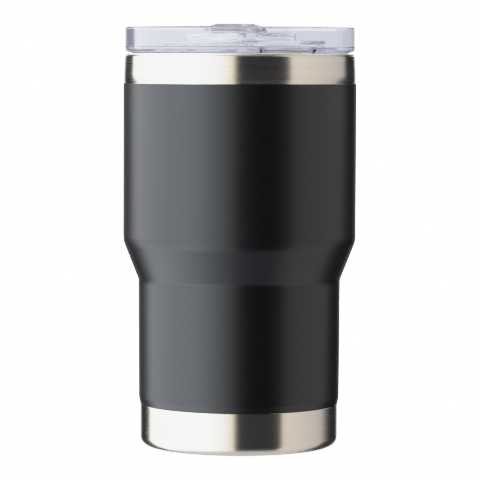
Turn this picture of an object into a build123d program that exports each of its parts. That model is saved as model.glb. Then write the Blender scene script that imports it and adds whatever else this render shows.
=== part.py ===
from build123d import *
from math import hypot
import os

# Insulated tumbler with a press-in clear lid and a slide closure.
# Millimetres. +Z up, origin on the floor under the centre of the base.
# The drinking side of the lid faces -Y, and the slider opens towards +Y.

# Steel body, outside
BODY_R = 43.8            # straight upper body and bare top band
LIP_R = 43.1             # at the drawn-in lip
LIP_TOP = 148.1
LIP_ROLL = 0.4           # rounding of the rolled lip's edges
SHELL_TOP = 147.5        # the outer shell's edge, under the rolled lip
LIP_BEND = (0.35, -0.5)  # outwards and down from the shell's edge
NECK_BEND = (0.5, -2.6)
BAND_TOP_RISE = 3.0      # full width is reached this far above the coat
BAND_BOTTOM = 136.9      # where the coat starts under the bare top band
SHOULDER_Z = 77.7        # where the upper body would meet the cone
CREASE_Z = 63.0          # where the cone would meet the lower body
SHOULDER_FILLET = 9.5
CREASE_FILLET = 4.5
LOWER_TOP_R = 37.97      # the lower body has a slight draft
LOWER_BOTTOM_R = 37.75
ROLL_Z = 18.6            # start of the rolled-in lower edge
ROLL_R = 37.3
ROLL_FILLET = 2.0
SHELL_BOTTOM = 16.3
SHEET = 0.6              # steel sheet, all drawn parts
WELD_GAP = 0.01          # between sheets that are welded edge to edge
COAT = 0.2               # powder coat

# Base
BASE_R = 37.4
BASE_TOP = 16.0
BASE_CORNER = 3.6
COLLAR_R = 36.68         # collar inside the outer shell's lower edge
COLLAR_TOP = 19.4
RECESS_R = 29.7          # recess in the underside
RECESS_DEPTH = 2.2
RECESS_DRAFT = 0.2
RECESS_EDGE = 0.9
RECESS_FILLET = 0.7
DIMPLE_R = 5.0
DIMPLE_Z = 3.4
DIMPLE_DRAFT = 0.4
TAIL_HOLE_R = 1.0        # the hole the air is drawn out through
DISC_R = 29.0            # cover plate in the recess
DISC_BOTTOM = 1.5
DISC_T = 0.4
DISC_EDGE = 0.15
DISH_W = 5.0             # rim of the cover plate's shallow dish
DISH_RISE = 0.25
BEAD_R = 2.0             # glass bead over the hole
BEAD_DROP = 0.9

# Liner, inside faces
MOUTH_R = 41.7
MOUTH_BOTTOM = 135.4
SEAT_Z = 131.4
LINER_R = 41.0
LINER_SHOULDER_Z = 77.1
LINER_CREASE_Z = 61.8
LINER_LOWER_R = 34.6
LINER_WELD_Z = 17.4
LINER_FLOOR_Z = 11.2
LINER_CORNER = 5.5
MOUTH_FILLET = 4.0
LINER_SHOULDER_FILLET = 8.0
LINER_CREASE_FILLET = 5.0

# Getter, held on the base cup inside the vacuum
GETTER_X = 14.0
GETTER_R = 4.0
GETTER_H = 2.0
GETTER_LIFT = 0.5
CLIP_W = 3.2
CLIP_T = 0.4
CLIP_FOOT = 2.6
CLIP_GAP = 0.1

# Lid
LID_R = 43.4
LID_TOP = 158.1
LID_EDGE_R = 0.9
FLANGE_BOTTOM = 148.5
FLANGE_CHAMFER = 0.85
WELL_R = 40.6            # the drinking well inside the rim
WELL_FILLET = 0.4
DECK_TOP = 150.4
DECK_BOTTOM = 148.6
SKIRT_R = 40.9
SKIRT_WALL = 2.0
SKIRT_BOTTOM = 138.9
SKIRT_LEAD = 0.7
SKIRT_FILLET = 0.8
SKIRT_EDGE = 0.4
FLANGE_FILLET = 0.5
FLANGE_EDGE = 0.3
GROOVE_R = 39.7
GROOVE_BOTTOM = 141.9
GROOVE_TOP = 145.9
DRINK_ARC_R = 33.0       # centre line of the curved drinking slot
DRINK_HALF_ANGLE = 13.0  # degrees
DRINK_WIDTH = 7.0
VENT_Y = 36.4
VENT_R = 1.25

# Slide closure
TRAVEL = 11.0
PLATE_HALF_W = 14.0
PLATE_BACK_Y = 22.5
PLATE_FRONT_R = 39.3     # the front edge follows the recess
PLATE_BOTTOM = 150.55
PLATE_TOP = 152.8
TAB_W = 25.0
TAB_L = 45.0
TAB_CORNER = 3.5
TAB_TOP = 155.6
TAB_WALL = 1.4
TAB_EDGE = 0.5
RIDGE_Y = 3.4
RIDGE_HALF_L = 12.2
RIDGE_TOP = 159.5
ARCH_HALF_L = 14.2       # the ridge is cut to a flat arch, longer than itself
ARCH_R = 7.6
RIDGE_FOOT_W = 6.4
RIDGE_TOP_W = 2.6
RIDGE_EDGE = 0.7
GUIDE_GAP = 0.15         # guide rib to plate, each side
GUIDE_T = 1.6
GUIDE_TOP = 151.7
GUIDE_FRONT_Y = -31.0
GUIDE_BACK_Y = 32.0
ROOT = 0.1               # how far the ribs and the tab sink into what they stand on
STEM_W = 4.8             # the slider's stem runs in a slot in the deck
STEM_FRONT_Y = -8.0
STEM_BACK_Y = 2.0
STEM_BOTTOM = 146.6
STEM_GAP = 0.1           # stem to slot, each side
STOP_GAP = 0.2           # stem to the slot's ends at each end of the travel
RETAINER_W = 11.0        # plate snapped on the stem under the deck
RETAINER_L = 16.0
RETAINER_TOP = 148.45
RETAINER_BOTTOM = 147.15
RETAINER_CORNER = 2.0
BARB = 0.4               # the barb's overhang on each side of the stem
BARB_GAP = 0.05
SEAL_T = 0.95
SEAL_BOTTOM = 150.46
SEAL_MARGIN = 1.2        # seal beyond the drinking slot, all round
SEAL_POCKET_GAP = 0.05

# Lid gasket
GASKET_CORE_R = 41.0
GASKET_LIP_R = 41.58
GASKET_GAP = 0.08        # to the groove's sides
GASKET_LIP_T = 0.7
GASKET_LIP_INSET = 0.6   # from the ring's upper and lower faces
GASKET_NECK = 0.1
GASKET_FIT = 0.05        # to the groove's floor
GASKET_LIP_ROUND = 0.25
GASKET_WAIST_ROUND = 0.2

THROUGH = 1.0            # how far a cutting shape passes the face it cuts


def line_meet(p, d, q, e):
    """The point where the line through p along d meets the line through q along e."""
    cross = d[0] * e[1] - d[1] * e[0]
    t = ((q[0] - p[0]) * e[1] - (q[1] - p[1]) * e[0]) / cross
    return (p[0] + t * d[0], p[1] + t * d[1])


def sheet_outline(points, radii, wall):
    """Closed outline of a sheet that follows an open (radius, height) outline.

    The sheet lies on the right of the way the points go, or on the left if wall is negative.
    Its ends are level where the outline's ends run up or down, and upright where they run level.
    """
    ways = []
    for (r0, z0), (r1, z1) in zip(points, points[1:]):
        length = hypot(r1 - r0, z1 - z0)
        ways.append(((r1 - r0) / length, (z1 - z0) / length))
    moved = [(p[0] + wall * d[1], p[1] - wall * d[0]) for p, d in zip(points, ways)]
    last = (points[-1][0] + wall * ways[-1][1], points[-1][1] - wall * ways[-1][0])

    def end(point, way, start):
        across = (1, 0) if abs(way[1]) > abs(way[0]) else (0, 1)
        return line_meet(start, way, point, across)

    far = [end(points[0], ways[0], moved[0])]
    far_radii = [0]
    for i in range(1, len(points) - 1):
        far.append(line_meet(moved[i - 1], ways[i - 1], moved[i], ways[i]))
        turn = ways[i - 1][0] * ways[i][1] - ways[i - 1][1] * ways[i][0]
        grow = wall if turn > 0 else -wall
        far_radii.append(max(radii[i] + grow, 0) if radii[i] else 0)
    far.append(end(points[-1], ways[-1], last))
    far_radii.append(0)
    return list(points) + far[::-1], list(radii) + far_radii[::-1]


def turned(points, radii):
    """A solid turned about Z from a closed (radius, height) outline with a radius per corner."""
    outline = FilletPolyline(*points, radius=radii, close=True)
    return revolve(Plane.XZ * make_face(outline), Axis.Z)


def turned_sheet(points, radii, wall):
    return turned(*sheet_outline(points, radii, wall))


def plate(width, length, corner, bottom, top, centre_y=0.0):
    """A level plate with rounded corners."""
    outline = Pos(0, centre_y, bottom) * RectangleRounded(width, length, corner)
    return extrude(outline, top - bottom)


def block(x0, x1, y0, y1, z0, z1):
    size = (x1 - x0, y1 - y0, z1 - z0)
    centre = ((x0 + x1) / 2, (y0 + y1) / 2, (z0 + z1) / 2)
    return Pos(*centre) * Box(*size)


def drinking_slot(grow, bottom, top):
    """The curved slot at the front of the lid, grown by a margin all round."""
    start = 270 - DRINK_HALF_ANGLE
    centre_line = CenterArc((0, 0), DRINK_ARC_R, start, 2 * DRINK_HALF_ANGLE)
    outline = SlotArc(centre_line, DRINK_WIDTH + 2 * grow)
    return extrude(Pos(0, 0, bottom) * outline, top - bottom)


# Shell, coat and liner follow these outlines from the top down.
SHELL_FOOT = [(LOWER_BOTTOM_R, ROLL_Z), (ROLL_R, SHELL_BOTTOM)]
SHELL_WAIST = [(BODY_R, SHOULDER_Z), (LOWER_TOP_R, CREASE_Z)]
WAIST_RADII = [SHOULDER_FILLET, CREASE_FILLET]


def outer_shell():
    lip = [(LIP_R, SHELL_TOP)]
    lip += [(LIP_R + out, SHELL_TOP + down) for out, down in (LIP_BEND, NECK_BEND)]
    top_band = [(BODY_R, BAND_BOTTOM + BAND_TOP_RISE)]
    points = lip + top_band + SHELL_WAIST + SHELL_FOOT
    radii = [0, 0, 0, 0] + WAIST_RADII + [ROLL_FILLET, 0]
    return turned_sheet(points, radii, SHEET)


def black_coat():
    points = [(BODY_R, BAND_BOTTOM)] + SHELL_WAIST + SHELL_FOOT
    return turned_sheet(points, [0] + WAIST_RADII + [ROLL_FILLET, 0], -COAT)


def base_cup():
    """Welded to the shell's lower edge by its collar: the outer floor of the vacuum."""
    collar = [(COLLAR_R, COLLAR_TOP), (COLLAR_R, SHELL_BOTTOM), (BASE_R, BASE_TOP)]
    foot = [(BASE_R, 0), (RECESS_R + RECESS_DRAFT, 0), (RECESS_R, RECESS_DEPTH)]
    dimple = [(DIMPLE_R, RECESS_DEPTH), (DIMPLE_R - DIMPLE_DRAFT, DIMPLE_Z), (TAIL_HOLE_R, DIMPLE_Z)]
    radii = [0, 0, 0, BASE_CORNER, RECESS_EDGE, RECESS_FILLET, 0, 0, 0]
    return turned_sheet(collar + foot + dimple, radii, SHEET)


def base_disc():
    """Thin plate glued into the recess to cover the sealed hole, with a shallow dish."""
    lower = [(DISC_R, DISC_BOTTOM), (DISC_R - DISH_W, DISC_BOTTOM), (0, DISC_BOTTOM + DISH_RISE)]
    upper = [(r, z + DISC_T) for r, z in reversed(lower)]
    return turned(lower + upper, [DISC_EDGE, 0, 0, 0, 0, 0])


def inner_liner():
    """The inner wall, with the rolled lip that covers the outer shell's edge."""
    roll_bottom = SHELL_TOP + WELD_GAP
    throat = [(MOUTH_R, (roll_bottom + LIP_TOP) / 2), (MOUTH_R, MOUTH_BOTTOM), (LINER_R, SEAT_Z)]
    waist = [(LINER_R, LINER_SHOULDER_Z), (LINER_LOWER_R, LINER_CREASE_Z)]
    foot = [(LINER_LOWER_R, LINER_WELD_Z)]
    radii = [0, MOUTH_FILLET, MOUTH_FILLET, LINER_SHOULDER_FILLET, LINER_CREASE_FILLET, 0]
    wall = turned_sheet(throat + waist + foot, radii, -SHEET)
    roll = [(MOUTH_R, roll_bottom), (LIP_R, roll_bottom), (LIP_R, LIP_TOP), (MOUTH_R, LIP_TOP)]
    return wall + turned(roll, [0, 0, LIP_ROLL, LIP_ROLL])


def liner_bottom():
    """The dished floor of the cup, welded to the liner wall."""
    points = [(LINER_LOWER_R, LINER_WELD_Z), (LINER_LOWER_R, LINER_FLOOR_Z), (0, LINER_FLOOR_Z)]
    return turned_sheet(points, [0, LINER_CORNER, 0], -SHEET)


def seal_bead():
    """Glass bead that plugs the evacuation hole from below."""
    stem = Pos(0, 0, DIMPLE_Z + SHEET / 2) * Cylinder(TAIL_HOLE_R, SHEET)
    head = Pos(0, 0, DIMPLE_Z) * Sphere(BEAD_R)
    below = block(-BEAD_R, BEAD_R, -BEAD_R, BEAD_R, DIMPLE_Z - BEAD_DROP, DIMPLE_Z)
    return stem + (head & below)


def getter():
    """Gas-absorbing pellet in the vacuum."""
    floor_z = RECESS_DEPTH + SHEET + GETTER_LIFT
    return Pos(GETTER_X, 0, floor_z + GETTER_H / 2) * Cylinder(GETTER_R, GETTER_H)


def getter_clip():
    """Sheet strap over the pellet, with two feet spot-welded to the base cup."""
    foot_z = RECESS_DEPTH + SHEET
    over_z = foot_z + GETTER_LIFT + GETTER_H
    half = GETTER_R + CLIP_GAP
    outer = half + CLIP_T
    strap = block(-CLIP_W / 2, CLIP_W / 2, -outer, outer, foot_z, over_z + CLIP_T)
    strap -= block(-CLIP_W, CLIP_W, -half, half, foot_z, over_z)
    cradle = block(-CLIP_W / 2, CLIP_W / 2, -half, half, foot_z, foot_z + GETTER_LIFT)
    feet = Part()
    for side in (-1, 1):
        y0, y1 = sorted((side * outer, side * (outer + CLIP_FOOT)))
        feet += block(-CLIP_W / 2, CLIP_W / 2, y0, y1, foot_z, foot_z + CLIP_T)
    return Pos(GETTER_X, 0, 0) * (strap + cradle + feet)


def lid_body():
    """One clear moulding: rim, sunk deck, plug skirt, guide ribs, drinking slot, stem slot, vent."""
    skirt_in = SKIRT_R - SKIRT_WALL
    points = [
        (0, DECK_BOTTOM),
        (skirt_in, DECK_BOTTOM),
        (skirt_in, SKIRT_BOTTOM),
        (SKIRT_R - SKIRT_LEAD, SKIRT_BOTTOM),
        (SKIRT_R, SKIRT_BOTTOM + SKIRT_LEAD),
        (SKIRT_R, GROOVE_BOTTOM),
        (GROOVE_R, GROOVE_BOTTOM),
        (GROOVE_R, GROOVE_TOP),
        (SKIRT_R, GROOVE_TOP),
        (SKIRT_R, FLANGE_BOTTOM),
        (LID_R - FLANGE_CHAMFER, FLANGE_BOTTOM),
        (LID_R, FLANGE_BOTTOM + FLANGE_CHAMFER + 0.2),
        (LID_R, LID_TOP),
        (WELL_R, LID_TOP),
        (WELL_R, DECK_TOP),
        (0, DECK_TOP),
    ]
    skirt_radii = [SKIRT_FILLET, SKIRT_EDGE, 0, 0, 0, 0, 0, 0]
    rim_radii = [FLANGE_FILLET, FLANGE_EDGE, FLANGE_EDGE, LID_EDGE_R, LID_EDGE_R, WELL_FILLET]
    lid = turned(points, [0] + skirt_radii + rim_radii + [0])
    lid -= drinking_slot(0, DECK_BOTTOM - THROUGH, DECK_TOP + THROUGH)
    deck_middle = (DECK_BOTTOM + DECK_TOP) / 2
    lid -= Pos(0, VENT_Y, deck_middle) * Cylinder(VENT_R, DECK_TOP - DECK_BOTTOM + 2 * THROUGH)
    lid -= block(
        -STEM_W / 2 - STEM_GAP,
        STEM_W / 2 + STEM_GAP,
        STEM_FRONT_Y - STOP_GAP,
        STEM_BACK_Y + TRAVEL + STOP_GAP,
        DECK_BOTTOM - THROUGH,
        DECK_TOP + THROUGH,
    )
    guide_x = PLATE_HALF_W + GUIDE_GAP
    for side in (-1, 1):
        x0, x1 = sorted((side * guide_x, side * (guide_x + GUIDE_T)))
        lid += block(x0, x1, GUIDE_FRONT_Y, GUIDE_BACK_Y, DECK_TOP - ROOT, GUIDE_TOP)
    return lid


def lid_gasket():
    """Silicone ring in the skirt's groove, with two sealing lips."""
    low = GROOVE_BOTTOM + GASKET_GAP
    high = GROOVE_TOP - GASKET_GAP
    inner = GROOVE_R + GASKET_FIT
    neck = GASKET_CORE_R - GASKET_NECK
    lower_lip = low + GASKET_LIP_INSET
    upper_lip = high - GASKET_LIP_INSET
    points = [
        (inner, low),
        (neck, low),
        (GASKET_LIP_R, lower_lip),
        (GASKET_LIP_R, lower_lip + GASKET_LIP_T),
        (neck, (low + high) / 2),
        (GASKET_LIP_R, upper_lip - GASKET_LIP_T),
        (GASKET_LIP_R, upper_lip),
        (neck, high),
        (inner, high),
    ]
    lip_radii = [GASKET_LIP_ROUND, GASKET_LIP_ROUND]
    return turned(points, [0, 0] + lip_radii + [GASKET_WAIST_ROUND] + lip_radii + [0, 0])


def thumb_ridge():
    """An arched ridge across the slider, wide at the foot and narrow at the top."""
    half_foot = RIDGE_FOOT_W / 2
    half_top = RIDGE_TOP_W / 2
    section = [
        (-half_foot, TAB_TOP - TAB_EDGE),
        (half_foot, TAB_TOP - TAB_EDGE),
        (half_foot, TAB_TOP),
        (half_top, RIDGE_TOP),
        (-half_top, RIDGE_TOP),
        (-half_foot, TAB_TOP),
    ]
    outline = FilletPolyline(*section, radius=[0, 0, 0, RIDGE_EDGE, RIDGE_EDGE, 0], close=True)
    bar = extrude(Plane.YZ * make_face(outline), RIDGE_HALF_L, both=True)
    arch_foot = RIDGE_TOP - ARCH_R - THROUGH
    arch_points = [
        (-ARCH_HALF_L, arch_foot),
        (ARCH_HALF_L, arch_foot),
        (ARCH_HALF_L, RIDGE_TOP),
        (-ARCH_HALF_L, RIDGE_TOP),
    ]
    arch = FilletPolyline(*arch_points, radius=[0, 0, ARCH_R, ARCH_R], close=True)
    side_view = extrude(Plane.XZ * make_face(arch), RIDGE_FOOT_W, both=True)
    return Pos(0, RIDGE_Y, 0) * (bar & side_view)


def slider():
    """Clear sliding closure: base plate, hollow raised tab, thumb ridge, and a barbed stem."""
    base = block(-PLATE_HALF_W, PLATE_HALF_W, -LID_R, PLATE_BACK_Y, PLATE_BOTTOM, PLATE_TOP)
    base &= Pos(0, 0, PLATE_TOP) * Cylinder(PLATE_FRONT_R, 2 * (PLATE_TOP - PLATE_BOTTOM) + THROUGH)
    tab = plate(TAB_W, TAB_L, TAB_CORNER, PLATE_TOP - ROOT, TAB_TOP)
    tab = fillet(tab.faces().sort_by(Axis.Z)[-1].edges(), TAB_EDGE)
    body = base + tab
    body -= plate(
        TAB_W - 2 * TAB_WALL,
        TAB_L - 2 * TAB_WALL,
        TAB_CORNER - TAB_WALL,
        PLATE_BOTTOM - THROUGH,
        TAB_TOP - TAB_WALL,
    )
    pocket_top = SEAL_BOTTOM + SEAL_T + SEAL_POCKET_GAP
    body -= drinking_slot(SEAL_MARGIN + SEAL_POCKET_GAP, PLATE_BOTTOM - THROUGH, pocket_top)
    half = STEM_W / 2
    stem_top = TAB_TOP - TAB_WALL + ROOT
    stem = block(-half, half, STEM_FRONT_Y, STEM_BACK_Y, STEM_BOTTOM, stem_top)
    reach = half + BARB
    barb_top = RETAINER_BOTTOM - BARB_GAP
    barb = block(-reach, reach, STEM_FRONT_Y, STEM_BACK_Y, STEM_BOTTOM, barb_top)
    return body + thumb_ridge() + stem + barb


def slider_retainer():
    """Clear plate snapped on the stem, which holds the slider down from under the deck."""
    centre_y = (STEM_FRONT_Y + STEM_BACK_Y) / 2
    pad = plate(RETAINER_W, RETAINER_L, RETAINER_CORNER, RETAINER_BOTTOM, RETAINER_TOP, centre_y)
    half = STEM_W / 2
    low = RETAINER_BOTTOM - THROUGH
    high = RETAINER_TOP + THROUGH
    return pad - block(-half, half, STEM_FRONT_Y, STEM_BACK_Y, low, high)


def slider_seal():
    """Silicone pad in the slider's underside that covers the drinking slot."""
    return drinking_slot(SEAL_MARGIN, SEAL_BOTTOM, SEAL_BOTTOM + SEAL_T)


os.makedirs("parts", exist_ok=True)
PIECES = [
    outer_shell,
    black_coat,
    base_cup,
    base_disc,
    inner_liner,
    liner_bottom,
    seal_bead,
    getter,
    getter_clip,
    lid_body,
    lid_gasket,
    slider,
    slider_retainer,
    slider_seal,
]
for make in PIECES:
    export_step(make(), "parts/" + make.__name__ + ".step")
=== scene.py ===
from math import acos, atan2, ceil, cos, hypot, pi, radians, sin, sqrt, tan

import bpy
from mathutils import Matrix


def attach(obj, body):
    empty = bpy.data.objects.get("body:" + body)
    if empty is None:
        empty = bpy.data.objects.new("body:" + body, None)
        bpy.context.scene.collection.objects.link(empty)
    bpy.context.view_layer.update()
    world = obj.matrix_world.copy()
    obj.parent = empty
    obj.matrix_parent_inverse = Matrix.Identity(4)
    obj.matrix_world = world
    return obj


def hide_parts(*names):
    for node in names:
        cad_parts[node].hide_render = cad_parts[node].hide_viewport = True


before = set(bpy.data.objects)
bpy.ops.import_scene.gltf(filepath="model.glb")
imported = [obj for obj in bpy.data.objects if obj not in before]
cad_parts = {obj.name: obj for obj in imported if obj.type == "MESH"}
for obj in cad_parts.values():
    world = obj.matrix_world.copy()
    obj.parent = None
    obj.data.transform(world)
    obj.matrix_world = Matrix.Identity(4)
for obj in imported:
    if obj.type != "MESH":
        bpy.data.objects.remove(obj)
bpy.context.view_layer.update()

MM = 0.001

# Sizes in millimetres, from the floor up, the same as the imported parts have.
SHEET = 0.6
COAT = 0.2
BODY_R = 43.8
LOWER_TOP_R = 37.97
LOWER_BOTTOM_R = 37.75
LIP_R = 43.1
LIP_TOP = 148.1
SHELL_TOP = 147.5
BAND_BOTTOM = 136.9
SHOULDER_Z = 77.7
SHOULDER_ROUND = 9.5
CREASE_Z = 63.0
CREASE_ROUND = 4.5
ROLL_Z = 18.6
ROLL_R = 37.3
ROLL_ROUND = 2.0
SHELL_BOTTOM = 16.3
LIP_EDGE_OUT = 0.35      # the outer wall's edge under the rolled lip
LIP_EDGE_DROP = 0.5
LIP_EDGE_ROUND = 0.6
NECK_OUT = 0.5           # where the wall is drawn in to the lip
NECK_DROP = 2.6
NECK_ROUND = 6.0
BAND_FLAT = 3.0          # height of the straight part of the bare band
GROOVE_DEPTH = 0.12      # fine masking groove under the top edge of the coat
GROOVE_HALF = 0.2
GROOVE_UP = 0.45
GROOVE_DOWN = 0.4
COAT_EDGE_ROUND = 0.15

BASE_R = 37.4
BASE_TOP = 16.0
BASE_TOP_ROUND = 0.25
BASE_CORNER = 3.6
COLLAR_R = 36.68
COLLAR_TOP = 19.4
FOOT_ROUND = 0.9
RECESS_R = 29.7
RECESS_DEPTH = 2.2
RECESS_LEAN = 0.2
RECESS_ROUND = 0.7
DIMPLE_R = 5.0
DIMPLE_Z = 3.4
DIMPLE_LEAN = 0.4
DIMPLE_ROUND = 0.4
TAIL_HOLE_R = 1.0
DISC_R = 29.0
DISC_BOTTOM = 1.5
DISC_T = 0.4
DISC_EDGE_ROUND = 0.15
DISH_BORDER = 5.0        # flat border of the cover plate, round its shallow dish
DISH_RISE = 0.25
DISH_ROUND = 4.0

MOUTH_R = 41.7
MOUTH_BOTTOM = 135.4
MOUTH_EDGE_ROUND = 0.4
SEAT_Z = 131.4
SEAT_ROUND = 4.0
LINER_R = 41.0
LINER_SHOULDER_Z = 77.1
LINER_SHOULDER_ROUND = 8.0
LINER_CREASE_Z = 61.8
LINER_CREASE_ROUND = 5.0
LINER_LOWER_R = 34.6
LINER_WELD_Z = 17.4
LINER_FLOOR_Z = 11.2
LINER_CORNER = 5.5
LIP_GAP = 0.01
LIP_UNDER_ROUND = 0.12
LIP_OUTER_ROUND = 0.42

LID_R = 43.4
LID_TOP = 158.1
LID_EDGE_R = 0.9
FLANGE_BOTTOM = 148.5
FLANGE_CHAMFER = 0.85
FLANGE_CHAMFER_H = 1.05
FLANGE_CHAMFER_ROUND = 0.3
FLANGE_ROOT_ROUND = 0.5
WELL_R = 40.6
WELL_FILLET = 0.4
DECK_TOP = 150.4
DECK_BOTTOM = 148.6
SKIRT_R = 40.9
SKIRT_WALL = 2.0
SKIRT_BOTTOM = 138.9
SKIRT_ROOT_ROUND = 0.8
SKIRT_END_ROUND = 0.4
SKIRT_LEAD = 0.7
SKIRT_LEAD_ROUND = 0.2
GROOVE_R = 39.7
GROOVE_BOTTOM = 141.9
GROOVE_TOP = 145.9
GROOVE_ROUND = 0.1
DRINK_ARC_R = 33.0
DRINK_HALF_ANGLE = radians(13.0)
DRINK_WIDTH = 7.0
VENT_Y = 36.4
VENT_R = 1.25

TRAVEL = 11.0
PLATE_HALF_W = 14.0
PLATE_BACK_Y = 22.5
PLATE_BACK_ROUND = 0.6
PLATE_FRONT_R = 39.3
PLATE_BOTTOM = 150.55
PLATE_TOP = 152.8
TAB_W = 25.0
TAB_L = 45.0
TAB_CORNER = 3.5
TAB_TOP = 155.6
TAB_WALL = 1.4
TAB_ROOT = 0.4           # how deep the tab is rooted in the plate
RIDGE_Y = 3.4
RIDGE_HALF_L = 12.2
RIDGE_TOP = 159.5
RIDGE_FOOT_W = 6.4
RIDGE_TOP_W = 2.6
RIDGE_ROOT = 0.5
RIDGE_ROUND = 0.7
ARCH_HALF_L = 14.2
ARCH_R = 7.6
ARCH_FOOT = 1.0          # height of the arch's straight ends
SLIDER_EDGE = 0.35       # rounding of the slider's outer edges
GUIDE_GAP = 0.15
GUIDE_T = 1.6
GUIDE_TOP = 151.7
GUIDE_ROUND = 0.4
GUIDE_ROOT = 0.3
GUIDE_FRONT_Y = -31.0
GUIDE_BACK_Y = 32.0
STEM_W = 4.8
STEM_FRONT_Y = -8.0
STEM_BACK_Y = 2.0
STEM_BOTTOM = 146.6
STEM_GAP = 0.1
STEM_OVERLAP = 0.3       # how far the stem's straight part reaches into its barbs
STEM_ROOT = 0.2
STOP_GAP = 0.2
RETAINER_W = 11.0
RETAINER_L = 16.0
RETAINER_CORNER = 2.0
RETAINER_TOP = 148.45
RETAINER_BOTTOM = 147.15
RETAINER_EDGE = 0.2
BARB = 0.4
BARB_GAP = 0.05
SEAL_T = 0.95
SEAL_BOTTOM = 150.46
SEAL_MARGIN = 1.2
SEAL_GAP = 0.05
SEAL_EDGE = 0.12

GASKET_CORE_R = 41.0
GASKET_LIP_R = 41.58
GASKET_GAP = 0.08
GASKET_BORE_GAP = 0.05
GASKET_NECK_DROP = 0.1
GASKET_LIP_T = 0.7
GASKET_LIP_RISE = 0.6
GASKET_LIP_ROUND = 0.3
GASKET_NECK_ROUND = 0.2
GASKET_EDGE_ROUND = 0.1

# How the meshes are made.
TURN_STEPS = 192         # facets round a turned piece
ARC_STEP = radians(9)    # facets of a rounded corner in an outline
HOLD = 0.1               # narrow face beside each rounding, which keeps the flats flat
SMOOTH_ANGLE = radians(32)
MERGE_GAP = 0.002        # vertices nearer than this are one
CUT_PAST = 2.0           # how far a cutting piece reaches past what it cuts
FRONT = -pi / 2          # the drinking side, as an angle round the axis
SLOT_STEPS = 14
SLOT_END_STEPS = 10
PLATE_ARC_STEPS = 24
VENT_SIDES = 32

# Materials. Grains are in waves per metre along X, Y and Z; bumps are in metres.
BRUSH_FINE = (7, 7, 6500)
BRUSH_FINE_DETAIL = 3.0
BRUSH_FINE_ROUGHNESS = 0.6
BRUSH_BROAD = (5, 5, 2400)
BRUSH_FINE_SHARE = 0.6
BRUSH_LINES = (0.38, 0.62)
BRUSH_BUMP = 0.0000018
BRUSH_TURN = 0.25        # a quarter turn lays the highlight along the cup's height
BRUSH_GLOSS_CHANGE = 0.03
STEEL_CLOUDS = (30, 30, 30)
STEEL_CLOUD_CHANGE = 0.01
STEEL_ROUGHNESS = 0.245
STEEL_ANISOTROPY = 0.92
LINER_ROUGHNESS = 0.46
LINER_ANISOTROPY = 0.3
STEEL_COLOURS = ((0.575, 0.551, 0.508), (0.625, 0.599, 0.552))
# The liner's colours are much lighter than the outer steel's: painted light, standing in for light that
# falls into the cup.
LINER_PAINTED_LIGHT_COLOURS = ((0.8, 0.79, 0.77), (0.88, 0.87, 0.85))
COAT_COLOURS = ((0.0012, 0.0012, 0.0014), (0.0026, 0.0026, 0.003))
COAT_ROUGHNESS = 0.34
COAT_IOR = 1.58
COAT_GLOSS_TINT = (0.85, 0.91, 1.0, 1)
COAT_GRAIN = (2600, 2600, 2600)
COAT_PEEL = (700, 700, 700)
COAT_CLOUDS = (45, 45, 45)
COAT_CLOUD_DETAIL = 3.0
COAT_CLOUD_CHANGE = 0.012
COAT_GRAIN_CHANGE = 0.015
COAT_GRAIN_BUMP = 0.000003
COAT_PEEL_BUMP = 0.000012
CLEAR_COLOUR = (0.985, 0.985, 1.0, 1)
CLEAR_FLOW = (90, 90, 160)
CLEAR_FLOW_BUMP = 0.000015
CLEAR_MAX_ROUGHNESS = 0.01
CLEAR_DEPTH_COLOUR = (0.55, 0.57, 0.75, 1)
CLEAR_DEPTH = 5.0
LID_IOR = 1.45
SLIDER_IOR = 1.25
SILICONE_COLOURS = ((0.9, 0.91, 0.93), (0.96, 0.96, 0.97))
SILICONE_GRAIN = (1800, 1800, 1800)
SILICONE_BUMP = 0.000004
SILICONE_ROUGHNESS = (0.42, 0.5)
SILICONE_CLEARNESS = 0.85
SILICONE_IOR = 1.41
SMALL_PIECE_GRAIN = (900, 900, 900)
SMALL_PIECE_DETAIL = 3.0
SMALL_PIECE_BUMP = 0.00001
SMALL_PIECE_CHANGE = 0.05
BEAD_COLOURS = ((0.3, 0.36, 0.34), (0.42, 0.48, 0.45))
BEAD_ROUGHNESS = 0.15
ALLOY_COLOURS = ((0.16, 0.16, 0.17), (0.27, 0.27, 0.28))
ALLOY_ROUGHNESS = 0.6
ALLOY_METALLIC = 0.9
LIGHT_PASSES = ("clear_plastic", "silicone")   # slots whose pieces cast no shadow

# Camera: where the eye stands, in millimetres from the cup's axis and the floor, and degrees.
CAMERA_AZIMUTH = -30.0
CAMERA_DISTANCE = 1089.0
CAMERA_HEIGHT = 145.5
CAMERA_PITCH = 3.56
CAMERA_ROLL = -0.2
CAMERA_LENS = 216.3
CAMERA_SENSOR = 36.0
CAMERA_CLIP = (0.01, 100.0)

# Studio, by azimuth round the cup from the main camera (right-hand side positive) and by
# level over the horizon, both in degrees.
KEY_FROM, KEY_TO = -129.8, -5.0
KEY_SOFT = 2.0
KEY_LEAN = 0.6           # how far the key's far edge moves for each degree of height
KEY_NEAR = (1.54, 1.45, 1.27)
KEY_FULL = (4.0, 4.0, 4.0)
KEY_FULL_AT = -52.0
KEY_FAR = (3.2, 3.2, 3.2)
FILL_FROM, FILL_TO = 51.0, 124.6
FILL_SOFT = 1.6
FILL_LEAN = 1.0          # how far the fill's far edge moves for each degree of height
FILL_NEAR = (1.185, 1.108, 0.996)
FILL_FAR = (0.88, 0.852, 0.837)
NEAR_SOFTER = 1.8        # how much softer a box's near edge is than its far one
LEAN_REACH = 10.0
BOX_LEVELS = (-50, 62)
BOX_END_SOFT = 6
DARK = (0.047, 0.05, 0.055)
DARK_LEFT = (0.09, 0.091, 0.095)
DARK_LEFT_SPAN = (-165.0, -131.0)
DARK_LEFT_SOFT = 3
DARK_LEFT_RISE = (-2.5, -0.8)
BACKDROP = (1.05, 1.05, 1.07)
BACKDROP_EDGE = (158.0, 162.0)
DIM = 0.2                # how much weaker the boxes are where the lower body mirrors them
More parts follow.
